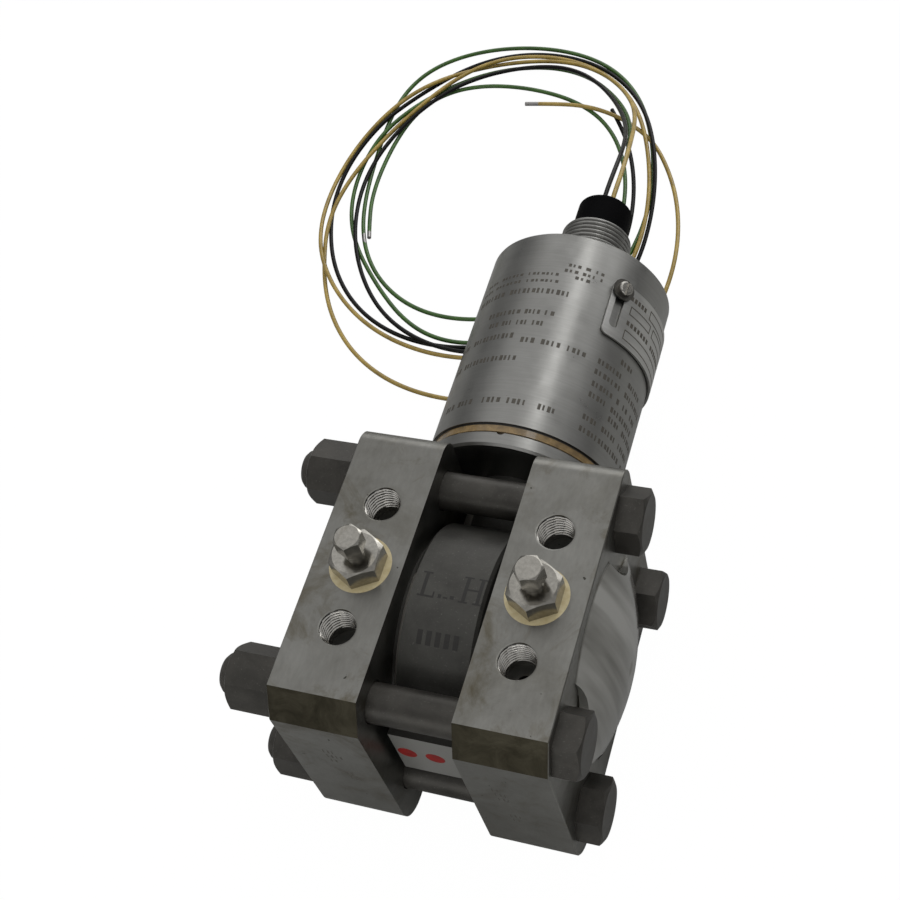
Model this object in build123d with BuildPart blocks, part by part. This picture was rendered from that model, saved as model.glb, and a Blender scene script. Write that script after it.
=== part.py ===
"""Differential pressure transmitter lying on its back, in millimetres.

The instrument axis runs along Y, the process flanges clamp the cell along X,
and the ports face up along Z. The flange backs rest on Z = 0.
"""
from build123d import *
import math
import os

os.makedirs("parts", exist_ok=True)

# Clearances between mating pieces
seat_gap = 0.02
run_gap = 0.05
bolt_hole_gap = 0.4
slide_gap = 0.3

# Process flanges
flange_gap = 30.0
flange_thick = 29.4
flange_length = 102.5
flange_height = 86.0
flange_face = flange_gap / 2 + flange_thick
corner_cut_y = 6.6
corner_cut_z = 11.3
corner_front_r = 7.0
corner_back_r = 12.0
face_bevel = 0.3
dome_base_r = 36.0
dome_rise = 9.1
pocket_r = 17.5

# Process ports and vents in the flange fronts
port_x = 28.7
vent_y = flange_length / 2 + 0.15
port_y = (vent_y - 22.2, vent_y + 22.2)
port_r = 6.5
port_depth = 15.0
port_mouth_r = 6.75
port_mouth_depth = 0.5
passage_r = 2.5
passage_end_z = flange_height - 33.0
vent_bore_r = 6.2
vent_bore_depth = 13.0
vent_passage_r = 1.5
seal_pocket_r = 10.1
seal_pocket_depth = 2.0

# Pressure chamber and its seal
chamber_r = 26.0
chamber_depth = 2.5
groove_inner_r = 27.4
groove_outer_r = 30.2
groove_depth = 1.8

# Clamping bolts
cell_y = flange_length / 2 + 0.05
cell_z = flange_height / 2 + 3.2
bolt_y = (flange_length / 2 - 38.2, flange_length / 2 + 38.2)
bolt_z = (cell_z + 26.3, cell_z - 26.3)
bolt_r = 6.35
hex_flats = 19.05
head_height = 8.5
nut_height = 16.5
stub_x = -64.4

# Measuring cell
drum_r = 36.2
drum_half = 12.5
drum_chamfer = 1.0
nose_r = 31.0
pad_y = cell_y - 42.3
pad_half_z = 13.0
pad_half_x = 12.3
fill_plug_x = (-8.6, 0.8)
fill_plug_r = 3.25
fill_plug_depth = 4.0
diaphragm_r = 24.0
diaphragm_thick = 0.4
diaphragm_back = 0.5
cavity_r = 22.0
cavity_depth = 0.8
oil_way_r = 1.5
stem_r = 14.0
stem_top_y = flange_length + 15.5
capsule_r = 9.9
capsule_y = (stem_top_y - 20.0, stem_top_y - 6.0)

# Electronics housing
axis_z = cell_z - 0.2
collar_r = 33.0
collar_y = (flange_length + 3.1, flange_length + 8.7)
collar_chamfer = 0.8
collar_notch_x = -1.0
collar_notch_r = 1.5
spigot_r = 30.2
spigot_inner_r = 26.5
spigot_top_y = collar_y[1] + 10.8
ring_r = 32.5
ring_top_y = collar_y[1] + 3.0
shell_r = 33.3
shell_wall = 3.0
shell_top_y = ring_top_y + 81.9
end_wall = 6.0
rim_chamfer = 0.8
nipple_r = 13.33
nipple_top_y = shell_top_y + 25.5
nipple_spigot_r = 12.1
nipple_bore_r = 10.45
plug_r = 10.4
plug_y = (shell_top_y + 11.9, shell_top_y + 39.3)
plug_rim = 1.6

# Sliding tag plate over the adjustments
tag_inner_r = 33.6
tag_outer_r = 34.4
tag_y = (shell_top_y - 36.6, shell_top_y - 13.6)
tag_half_angle = 54.5
tag_corner_r = 2.5
tag_screw_angle = 48.3
tag_screw_y = shell_top_y - 16.9
tag_slot_end_y = tag_screw_y - 14.0
tag_screw_r = 1.5
tag_head_r = 2.7
tag_head_rise = 2.0
tag_washer_r = 4.1
tag_washer_thick = 0.6
tag_washer_r_pos = tag_outer_r + slide_gap

# Adjusters and boards inside the housing
adjust_y = shell_top_y - 31.1
adjust_half_z = 8.0
adjust_r = 2.0
adjust_x = (12.0, shell_r - 2.3)
access_r = 2.5
board_x = 8.0
board_thick = 1.6
header_board_y = stem_top_y + 6.0
header_board_r = 25.0
post_r = 2.5
post_circle_r = 21.0
main_board_length = 56.0
main_board_half_z = 22.0
adjuster_block_x = 20.0
adjuster_block_half_y = 7.0
adjuster_block_half_z = 14.0
terminal_y = header_board_y + 26.0
terminal_length = 24.0
terminal_thick = 11.0
terminal_half_z = 15.0

# Vent valves
vent_flats = 15.5
vent_top_z = flange_height + 7.5
vent_shank_r = 6.15
screw_r = 3.0
screw_flats = 8.2
screw_head_z = (flange_height + 11.3, flange_height + 17.5)
screw_tip_z = flange_height - 9.0

# The frame has its origin under the middle of the whole instrument
x_shift = -(stub_x + flange_face + dome_rise) / 2
y_shift = -plug_y[1] / 2


def across(x):
    """Plane across the instrument at x, with local axes Y and Z."""
    return Plane(origin=(x_shift + x, y_shift, 0), x_dir=(0, 1, 0), z_dir=(1, 0, 0))


def along(y):
    """Plane on the housing axis at y, with local axes X and minus Z."""
    return Plane(origin=(x_shift, y_shift + y, axis_z), x_dir=(1, 0, 0), z_dir=(0, 1, 0))


def level(z):
    """Horizontal plane at height z, with local axes X and Y."""
    return Plane(origin=(x_shift, y_shift, z))


def radial(angle, r):
    """Plane square to a housing radius, angle from +X towards +Z, local axes Y and tangent."""
    turn = math.radians(angle)
    out = (math.cos(turn), 0, math.sin(turn))
    origin = (x_shift + r * out[0], y_shift, axis_z + r * out[2])
    return Plane(origin=origin, x_dir=(0, 1, 0), z_dir=out)


def disc(plane, centre, radius, height, mode=Mode.ADD):
    """Round boss or hole on a plane."""
    with BuildSketch(plane) as outline:
        with Locations(centre):
            Circle(radius)
    extrude(outline.sketch, amount=height, mode=mode)


def ring(plane, outer, inner, height):
    """Round tube standing on a plane."""
    with BuildSketch(plane) as outline:
        Circle(outer)
        Circle(inner, mode=Mode.SUBTRACT)
    extrude(outline.sketch, amount=height)


def block(plane, size_x, size_y, height, mode=Mode.ADD):
    """Rectangular block between local limits, standing on a plane."""
    with BuildSketch(plane) as outline:
        with Locations(((size_x[0] + size_x[1]) / 2, (size_y[0] + size_y[1]) / 2)):
            Rectangle(size_x[1] - size_x[0], size_y[1] - size_y[0])
    extrude(outline.sketch, amount=height, mode=mode)


def hexagon(plane, centre, flats, height, turn):
    """Hexagon head with the usual 30 degree crown on its far side."""
    with BuildSketch(plane) as outline:
        with Locations(centre):
            RegularPolygon(flats / 2, 6, major_radius=False, rotation=turn)
    extrude(outline.sketch, amount=height)
    crown_top = 0.47 * flats
    crown_base = crown_top + abs(height) / math.tan(math.radians(30))
    top = plane.offset(height)
    towards = -1 if height > 0 else 1
    cone_plane = Plane(
        origin=top.from_local_coords((centre[0], centre[1], 0)),
        x_dir=top.x_dir,
        z_dir=top.z_dir * towards,
    )
    with Locations(cone_plane):
        Cone(crown_top, crown_base, abs(height), align=(Align.CENTER, Align.CENTER, Align.MIN),
             mode=Mode.INTERSECT)


def save(part, label):
    """Label a solid and write it as its own file."""
    part.label = label
    export_step(part, "parts/" + label + ".step")


def make_flange(side):
    """Process flange; side is +1 for the high side at +X and -1 for the low side."""
    inner = side * flange_gap / 2
    outer = side * flange_face
    with BuildPart() as flange:
        with BuildSketch(across(inner)) as outline:
            with BuildLine():
                Polyline(
                    (0, 0),
                    (flange_length, 0),
                    (flange_length, flange_height),
                    (corner_cut_y, flange_height),
                    (0, flange_height - corner_cut_z),
                    close=True,
                )
            make_face()
            corners = outline.vertices()
            back = [corners.sort_by_distance((0, 0))[0]]
            back.append(corners.sort_by_distance((flange_length, 0))[0])
            fillet(back, corner_back_r)
            corners = outline.vertices()
            front = corners.sort_by_distance((flange_length, flange_height))[0]
            fillet(front, corner_front_r)
        extrude(amount=side * flange_thick)
        far = flange.faces().sort_by(Axis.X)[-1 if side > 0 else 0]
        chamfer(far.edges(), face_bevel)
        # Turned dome behind the pressure chamber
        ball_r = (dome_base_r**2 + dome_rise**2) / (2 * dome_rise)
        half_r = dome_base_r / 2
        half_rise = dome_rise - (ball_r - math.sqrt(ball_r**2 - half_r**2))
        turning = Plane(origin=(x_shift, y_shift + cell_y, cell_z))
        with BuildSketch(turning):
            with BuildLine():
                Line((outer - side * 1.0, 0), (outer + side * dome_rise, 0))
                ThreePointArc(
                    (outer + side * dome_rise, 0),
                    (outer + side * half_rise, half_r),
                    (outer, dome_base_r),
                )
                Line((outer, dome_base_r), (outer - side * 1.0, dome_base_r))
                Line((outer - side * 1.0, dome_base_r), (outer - side * 1.0, 0))
            make_face()
        revolve(axis=Axis((x_shift, y_shift + cell_y, cell_z), (1, 0, 0)))
        for y in bolt_y:
            for z in bolt_z:
                disc(across(outer), (y, z), pocket_r, side * 12.0, Mode.SUBTRACT)
                disc(across(inner), (y, z), bolt_r + bolt_hole_gap, side * flange_thick, Mode.SUBTRACT)
        # Process ports with their ways into the chamber
        for y in port_y:
            disc(level(flange_height), (side * port_x, y), port_mouth_r, -port_mouth_depth, Mode.SUBTRACT)
            disc(level(flange_height), (side * port_x, y), port_r, -port_depth, Mode.SUBTRACT)
            way = flange_height - passage_end_z
            disc(level(flange_height), (side * port_x, y), passage_r, -way, Mode.SUBTRACT)
            disc(across(inner), (y, passage_end_z), passage_r, side * (port_x - flange_gap / 2), Mode.SUBTRACT)
        # Vent bore with the sealant pocket round its mouth
        disc(level(flange_height), (side * port_x, vent_y), seal_pocket_r, -seal_pocket_depth, Mode.SUBTRACT)
        disc(level(flange_height), (side * port_x, vent_y), vent_bore_r, -vent_bore_depth, Mode.SUBTRACT)
        way = flange_height - cell_z - chamber_r + 4.0
        disc(level(flange_height), (side * port_x, vent_y), vent_passage_r, -way, Mode.SUBTRACT)
        vent_way_z = flange_height - way
        disc(across(inner), (vent_y, vent_way_z), vent_passage_r, side * (port_x - flange_gap / 2), Mode.SUBTRACT)
        # Pressure chamber and the groove of its seal
        disc(across(inner), (cell_y, cell_z), chamber_r, side * chamber_depth, Mode.SUBTRACT)
        with BuildSketch(across(inner)):
            with Locations((cell_y, cell_z)):
                Circle(groove_outer_r)
                Circle(groove_inner_r, mode=Mode.SUBTRACT)
        extrude(amount=side * groove_depth, mode=Mode.SUBTRACT)
    return flange.part


def make_seal(side):
    """Flattened sealing ring that fills the groove of a flange."""
    inner = side * flange_gap / 2
    with BuildPart() as seal:
        with BuildSketch(across(inner)):
            with Locations((cell_y, cell_z)):
                Circle(groove_outer_r - seat_gap)
                Circle(groove_inner_r + seat_gap, mode=Mode.SUBTRACT)
        extrude(amount=side * groove_depth)
    return seal.part


def make_diaphragm(side):
    """Thin isolating diaphragm, seated in the cell face."""
    face = side * (flange_gap / 2 - diaphragm_back)
    with BuildPart() as diaphragm:
        disc(across(face), (cell_y, cell_z), diaphragm_r - seat_gap, side * diaphragm_thick)
    return diaphragm.part


def make_bolt(y, z, turn):
    """Hexagon bolt from the high side through to its stub past the nut."""
    with BuildPart() as bolt:
        hexagon(across(flange_face), (y, z), hex_flats, head_height, turn)
        disc(across(flange_face), (y, z), bolt_r, stub_x - flange_face)
        tip = bolt.faces().sort_by(Axis.X)[0]
        chamfer(tip.edges(), 1.0)
    return bolt.part


def make_nut(y, z, turn):
    """Deep hexagon nut on the low side."""
    with BuildPart() as nut:
        hexagon(across(-flange_face), (y, z), hex_flats, -nut_height, turn)
        disc(across(-flange_face), (y, z), bolt_r + seat_gap, -nut_height, Mode.SUBTRACT)
    return nut.part


def make_vent_body(side):
    """Vent valve body screwed into the flange front."""
    spot = (side * port_x, vent_y)
    with BuildPart() as body:
        hexagon(level(flange_height), spot, vent_flats, vent_top_z - flange_height, 90)
        disc(level(flange_height), spot, vent_shank_r, -(vent_bore_depth - 1.0))
        disc(level(vent_top_z), spot, screw_r + run_gap, screw_tip_z - vent_top_z, Mode.SUBTRACT)
        disc(level(vent_top_z), spot, 1.0, flange_height - vent_bore_depth - vent_top_z, Mode.SUBTRACT)
    return body.part


def make_bleed_screw(side, turn):
    """Bleed screw with its head above the vent body and a conical tip."""
    spot = (side * port_x, vent_y)
    with BuildPart() as screw:
        hexagon(level(screw_head_z[0]), spot, screw_flats, screw_head_z[1] - screw_head_z[0], turn)
        disc(level(screw_head_z[0]), spot, screw_r, screw_tip_z + 0.1 - screw_head_z[0])
        tip = screw.faces().sort_by(Axis.Z)[0]
        chamfer(tip.edges(), 1.5)
    return screw.part


def make_vent_seal(side):
    """Ring of thread sealant round the vent body, flush with the flange front."""
    spot = (side * port_x, vent_y)
    with BuildPart() as seal:
        with BuildSketch(level(flange_height - seal_pocket_depth)):
            with Locations(spot):
                Circle(seal_pocket_r - seat_gap)
                Circle(vent_shank_r + seat_gap, mode=Mode.SUBTRACT)
        extrude(amount=seal_pocket_depth)
    return seal.part


def make_tag_screw(angle):
    """Slotted pan screw that guides the tag plate."""
    head_seat = tag_washer_r_pos + tag_washer_thick
    with BuildPart() as screw:
        disc(radial(angle, head_seat), (tag_screw_y, 0), tag_head_r, tag_head_rise)
        outward = Axis((x_shift, y_shift, axis_z), radial(angle, 1.0).z_dir)
        rim = screw.faces().sort_by(outward)[-1].edges()
        fillet(rim, 0.9)
        disc(radial(angle, head_seat), (tag_screw_y, 0), tag_screw_r, shell_r - shell_wall - 0.5 - head_seat)
        top = radial(angle, head_seat + tag_head_rise)
        block(top, (tag_screw_y - 4, tag_screw_y + 4), (-0.45, 0.45), -1.0, Mode.SUBTRACT)
    return screw.part


def make_tag_washer(angle):
    """Plain washer under the tag screw head."""
    with BuildPart() as washer:
        with BuildSketch(radial(angle, tag_washer_r_pos)):
            with Locations((tag_screw_y, 0)):
                Circle(tag_washer_r)
                Circle(tag_screw_r + 0.1, mode=Mode.SUBTRACT)
        extrude(amount=tag_washer_thick)
    return washer.part


def make_adjuster(z):
    """Slotted adjusting shaft that ends in the access hole of the housing."""
    with BuildPart() as adjuster:
        disc(across(adjust_x[0]), (adjust_y, z), adjust_r, adjust_x[1] - adjust_x[0])
        block(across(adjust_x[1]), (adjust_y - 3, adjust_y + 3), (z - 0.35, z + 0.35), -1.2, Mode.SUBTRACT)
    return adjuster.part


def make_post(angle):
    """Round post between the housing base and the lower board."""
    turn = math.radians(angle)
    spot = (post_circle_r * math.cos(turn), post_circle_r * math.sin(turn))
    with BuildPart() as post:
        disc(along(collar_y[1]), spot, post_r, header_board_y - collar_y[1])
    return post.part


def make_fill_plug(x):
    """Soft plug in a fill hole of the cell pad."""
    with BuildPart() as plug:
        disc(along(pad_y), (x, axis_z - cell_z), fill_plug_r - seat_gap, fill_plug_depth)
    return plug.part


# Process side
for side, name in ((-1, "low"), (1, "high")):
    save(make_flange(side), "flange_" + name)
    save(make_seal(side), "o_ring_" + name)
    save(make_diaphragm(side), "diaphragm_" + name)
    save(make_vent_body(side), "vent_body_" + name)
    save(make_bleed_screw(side, 12 if side > 0 else 35), "bleed_screw_" + name)
    save(make_vent_seal(side), "vent_seal_" + name)

head_turns = (4.0, 17.0, 21.0, 50.0)
nut_turns = (10.0, 22.0, 35.0, 14.0)
index = 0
for y, along_name in zip(bolt_y, ("lower", "upper")):
    for z, side_name in zip(bolt_z, ("front", "back")):
        save(make_bolt(y, z, head_turns[index]), "bolt_" + along_name + "_" + side_name)
        save(make_nut(y, z, nut_turns[index]), "nut_" + along_name + "_" + side_name)
        index += 1

with BuildPart() as cell_body:
    disc(across(-drum_half), (cell_y, cell_z), drum_r, 2 * drum_half)
    chamfer(cell_body.edges().filter_by(GeomType.CIRCLE), drum_chamfer)
    block(along(pad_y), (-pad_half_x, pad_half_x), (-pad_half_z, pad_half_z), cell_y - pad_y)
    disc(across(-flange_gap / 2), (cell_y, cell_z), nose_r, flange_gap)
    disc(along(cell_y), (0, 0), stem_r, stem_top_y - cell_y)
    for side in (-1, 1):
        face = side * flange_gap / 2
        disc(across(face), (cell_y, cell_z), diaphragm_r, -side * diaphragm_back, Mode.SUBTRACT)
        deep = -side * (diaphragm_back + cavity_depth)
        disc(across(face), (cell_y, cell_z), cavity_r, deep, Mode.SUBTRACT)
    disc(across(-flange_gap / 2), (cell_y, cell_z), oil_way_r, flange_gap, Mode.SUBTRACT)
    disc(along(cell_y), (0, 0), oil_way_r, capsule_y[0] - cell_y, Mode.SUBTRACT)
    disc(along(capsule_y[0]), (0, 0), capsule_r + seat_gap, stem_top_y - capsule_y[0], Mode.SUBTRACT)
    for x in fill_plug_x:
        disc(along(pad_y), (x, axis_z - cell_z), fill_plug_r, fill_plug_depth, Mode.SUBTRACT)
        disc(along(pad_y), (x, axis_z - cell_z), oil_way_r, cell_y - pad_y, Mode.SUBTRACT)
save(cell_body.part, "cell_body")

save(make_fill_plug(fill_plug_x[0]), "fill_plug_left")
save(make_fill_plug(fill_plug_x[1]), "fill_plug_right")

with BuildPart() as sensor_capsule:
    disc(along(capsule_y[0]), (0, 0), capsule_r, capsule_y[1] - capsule_y[0])
save(sensor_capsule.part, "sensor_capsule")

with BuildPart() as feedthrough:
    disc(along(capsule_y[1]), (0, 0), capsule_r, stem_top_y - capsule_y[1])
    for k in range(6):
        turn = math.radians(60 * k)
        spot = (6.0 * math.cos(turn), 6.0 * math.sin(turn))
        disc(along(stem_top_y), spot, 0.5, header_board_y - stem_top_y)
save(feedthrough.part, "feedthrough")

# Housing
with BuildPart() as housing_base:
    disc(along(collar_y[0]), (0, 0), collar_r, collar_y[1] - collar_y[0])
    chamfer(housing_base.edges().filter_by(GeomType.CIRCLE), collar_chamfer)
    ring(along(collar_y[1]), spigot_r, spigot_inner_r, spigot_top_y - collar_y[1])
    disc(along(collar_y[0]), (0, 0), stem_r + seat_gap, 10.0, Mode.SUBTRACT)
    notch = level(axis_z + spigot_r + 1.0)
    disc(notch, (collar_notch_x, collar_y[1]), collar_notch_r, 5.0, Mode.SUBTRACT)
save(housing_base.part, "housing_base")

with BuildPart() as seal_ring:
    ring(along(collar_y[1]), ring_r, spigot_r + seat_gap, ring_top_y - collar_y[1])
save(seal_ring.part, "seal_ring")

with BuildPart() as housing_shell:
    disc(along(ring_top_y), (0, 0), shell_r, shell_top_y - ring_top_y)
    chamfer(housing_shell.edges().sort_by(Axis.Y)[-1], rim_chamfer)
    hollow = shell_top_y - end_wall - ring_top_y
    disc(along(ring_top_y), (0, 0), shell_r - shell_wall, hollow, Mode.SUBTRACT)
    disc(along(shell_top_y), (0, 0), nipple_spigot_r + seat_gap, -end_wall, Mode.SUBTRACT)
    for side in (-1, 1):
        spot = (adjust_y, axis_z + side * adjust_half_z)
        disc(across(shell_r - 10), spot, access_r, 12.0, Mode.SUBTRACT)
        lug = radial(side * tag_screw_angle, shell_r - shell_wall - 2)
        disc(lug, (tag_screw_y, 0), tag_screw_r + seat_gap, 8.0, Mode.SUBTRACT)
save(housing_shell.part, "housing_shell")

with BuildPart() as conduit_nipple:
    disc(along(shell_top_y), (0, 0), nipple_r, nipple_top_y - shell_top_y)
    chamfer(conduit_nipple.edges().sort_by(Axis.Y)[-1], 0.8)
    disc(along(shell_top_y), (0, 0), nipple_spigot_r, -end_wall)
    bore_length = nipple_top_y - shell_top_y + 2 * end_wall
    disc(along(shell_top_y - end_wall), (0, 0), nipple_bore_r, bore_length, Mode.SUBTRACT)
save(conduit_nipple.part, "conduit_nipple")

with BuildPart() as cable_plug:
    disc(along(plug_y[0]), (0, 0), plug_r, plug_y[1] - plug_y[0])
    fillet(cable_plug.edges().sort_by(Axis.Y)[-1], plug_rim)
save(cable_plug.part, "cable_plug")

with BuildPart() as tag_plate:
    with BuildSketch(along(tag_y[0])):
        Circle(tag_outer_r)
        Circle(tag_inner_r, mode=Mode.SUBTRACT)
        reach = 60.0
        spread = reach * math.tan(math.radians(tag_half_angle))
        with BuildLine():
            Polyline((0, 0), (reach, -spread), (reach, spread), close=True)
        make_face(mode=Mode.INTERSECT)
    extrude(amount=tag_y[1] - tag_y[0])
    short = [e for e in tag_plate.edges() if e.length < 1.5 * (tag_outer_r - tag_inner_r)]
    fillet(short, tag_corner_r)
    for angle in (-tag_screw_angle, tag_screw_angle):
        middle = (tag_screw_y + tag_slot_end_y) / 2
        with BuildSketch(radial(angle, tag_inner_r - 3)):
            with Locations((middle, 0)):
                SlotCenterToCenter(tag_screw_y - tag_slot_end_y, 2 * (tag_screw_r + slide_gap))
        extrude(amount=6, mode=Mode.SUBTRACT)
save(tag_plate.part, "tag_plate")

for angle, name in ((tag_screw_angle, "front"), (-tag_screw_angle, "back")):
    save(make_tag_screw(angle), "tag_screw_" + name)
    save(make_tag_washer(angle), "tag_washer_" + name)

# Electronics
for index, angle in enumerate((90, 210, 330)):
    save(make_post(angle), "board_post_" + str(index + 1))

with BuildPart() as header_board:
    disc(along(header_board_y), (0, 0), header_board_r, board_thick)
save(header_board.part, "header_board")

board_low_y = header_board_y + board_thick
board_z = (-main_board_half_z, main_board_half_z)
with BuildPart() as main_board:
    block(along(board_low_y), (board_x, board_x + board_thick), board_z, main_board_length)
save(main_board.part, "main_board")

with BuildPart() as adjuster_block:
    low_x = board_x + board_thick
    block_z = (-adjuster_block_half_z, adjuster_block_half_z)
    block_foot = along(adjust_y - adjuster_block_half_y)
    block(block_foot, (low_x, adjuster_block_x), block_z, 2 * adjuster_block_half_y)
    for side in (-1, 1):
        spot = (adjust_y, axis_z + side * adjust_half_z)
        disc(across(adjust_x[0]), spot, adjust_r + run_gap, 20.0, Mode.SUBTRACT)
save(adjuster_block.part, "adjuster_block")

save(make_adjuster(axis_z + adjust_half_z), "zero_adjuster")
save(make_adjuster(axis_z - adjust_half_z), "span_adjuster")

with BuildPart() as terminal_block:
    terminal_z = (-terminal_half_z, terminal_half_z)
    block(along(terminal_y), (board_x - terminal_thick, board_x), terminal_z, terminal_length)
save(terminal_block.part, "terminal_block")

# Loose leads, as points of their centre lines in the part frame
lead_r = 0.9
corner_share = 0.45
black_route = [
    (4.5, 117.7, 50.2), (4.5, 124.7, 50.2), (4.4, 134.5, 48.77), (3.8, 144.9, 45.6),
    (2.4, 156.2, 40.66), (-0.2, 168.4, 34.39), (-4.2, 180.7, 27.73), (-9.7, 193.2, 21.5),
    (-17, 205.6, 16.21), (-25.9, 217, 11.93), (-36.2, 226.2, 8.46), (-47.6, 232.1, 5.57),
    (-59.9, 233.8, 3.33), (-72.4, 231.5, 2.45), (-84.3, 225.8, 2.69), (-95.1, 217.2, 3.21),
    (-103.9, 206.3, 3.16), (-110.8, 194, 3.15), (-115.8, 180.9, 3.11), (-118.5, 167, 3.16),
    (-118.8, 152.7, 3.07), (-116.6, 138.4, 3.1), (-112.3, 124.4, 3.22), (-106, 111.3, 2.74),
    (-98, 99.5, 2.34), (-88.5, 89.5, 2.47), (-77.6, 81.8, 3), (-65.6, 76.6, 3.21),
    (-52.6, 74.7, 2.49), (-39.1, 76, 1.67), (-25.8, 80.3, 1.12), (-13.6, 87.3, 0.92),
    (-3.3, 96.6, 0.93), (4.2, 108.2, 0.94), (8.6, 121.5, 0.93), (10.5, 136, 0.92),
    (10.5, 150.8, 1.33), (9.2, 165.4, 2.43), (6.6, 179.6, 4.1), (2.5, 193.4, 5.46),
    (-3.1, 206.7, 4.45), (-10.4, 218.7, 3.04), (-19.5, 229.1, 1.93), (-30.5, 237.3, 1.21),
    (-43.4, 242.4, 0.93), (-57.3, 244.2, 0.93), (-71.3, 242.7, 0.95), (-84.3, 237.9, 0.96),
    (-95.7, 230.1, 0.93), (-105.5, 219.8, 0.92), (-113.8, 207.8, 2), (-120.8, 195.1, 3.34),
    (-126.2, 181.9, 2.99), (-129.7, 168.6, 2.11), (-130.8, 155.3, 1.37), (-129.5, 142, 0.97),
    (-125.8, 128.7, 0.92), (-120.3, 115.7, 0.99), (-112.7, 103.8, 1), (-103, 93.4, 0.99),
    (-91.6, 85.3, 0.97), (-78.6, 79.8, 0.94), (-64.6, 77.2, 0.92), (-50.3, 77.5, 1.01),
    (-36.6, 80.7, 1.32), (-24.2, 86.8, 1.89), (-13.7, 95.6, 2.68), (-5.6, 106.5, 3.27),
    (-0.4, 119.1, 2.84), (2.3, 133, 2.05), (2.7, 147.6, 1.43), (1, 162.2, 1.1),
    (-2.3, 176.4, 0.99), (-7.1, 189.7, 0.97), (-13.2, 201.9, 0.92), (-20.8, 213.2, 0.93),
]
white_route = [
    (8, 117.7, 51), (8, 124.7, 51), (8, 134.5, 50.12), (7, 145.1, 47.23), (5.3, 156.8, 42.51),
    (3, 169.4, 36.69), (-0, 181.9, 30.65), (-4.4, 194.1, 24.92), (-10.9, 205.8, 19.78),
    (-19.4, 216.7, 15.26), (-29.7, 226, 11.14), (-41.2, 233.2, 7.18), (-53.5, 237.5, 3.55),
    (-66.3, 238.4, 1.37), (-79.2, 235.6, 0.92), (-91.7, 229.7, 1.65), (-103.3, 221.4, 3.21),
    (-113.6, 210.9, 3.74), (-121.8, 198.8, 3), (-127.7, 185.7, 2.02), (-131.4, 172.1, 1.44),
    (-133, 158.2, 1.46), (-132.7, 144.3, 2.07), (-130.4, 130.6, 3.08), (-125.9, 117.5, 3.82),
    (-118.8, 105.6, 3.24), (-109.5, 95.1, 2.23), (-98.5, 86.3, 1.45), (-85.8, 79.4, 1.03),
    (-72, 74.8, 0.92), (-57.6, 72.6, 0.98), (-43.3, 73, 1.28), (-30, 76.2, 1.87),
    (-18.3, 82.4, 2.67), (-8.5, 91.1, 3.23), (-0.8, 101.8, 2.98), (4.8, 114, 2.51),
    (7.9, 127.2, 2.42), (9.1, 141, 2.64), (8.5, 155.3, 3.09), (6.3, 169.8, 3.64),
    (2.6, 184.4, 4.56), (-2.5, 198.6, 5.18), (-9, 211.7, 3.91), (-17, 223.1, 2.48),
    (-26.6, 232, 1.57), (-37.7, 238.2, 1.29), (-50.1, 241.5, 1.5), (-63.4, 241.3, 2.13),
    (-76.4, 237.6, 3), (-87.9, 230.5, 3.44), (-97.3, 220.4, 3.43), (-105.2, 208.6, 3.2),
    (-112.3, 195.9, 3.07), (-117.9, 182.6, 3.48), (-122.4, 168.9, 4.08), (-126, 155.2, 3.97),
    (-127.7, 141.4, 3.68), (-126.9, 127.6, 2.86), (-123.6, 114.3, 1.28), (-118.8, 101.2, 0.92),
    (-112.4, 89.1, 0.94), (-104.2, 78.1, 0.96), (-94.5, 68.7, 0.96), (-83.2, 61.2, 0.96),
    (-70.7, 55.9, 0.95), (-57, 53, 0.95), (-42.8, 52.5, 0.95), (-28.6, 54.4, 0.95),
    (-15.2, 58.6, 0.95), (-3, 65.1, 0.95), (7.3, 73.9, 0.95), (15.2, 84.8, 0.95),
    (20.8, 97.3, 0.95), (24.1, 111.1, 0.95), (25.2, 125.6, 0.94), (24.4, 140.4, 0.94),
    (21.7, 154.9, 0.92), (17.3, 168.8, 1.04), (11.2, 181.5, 1.67), (3.6, 192.7, 3.28),
    (-6, 201.7, 2.49), (-17.5, 208.2, 2.8), (-30.7, 211.9, 3.28), (-45, 213.6, 1.82),
    (-60.5, 212.8, 0.93),
]
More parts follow.
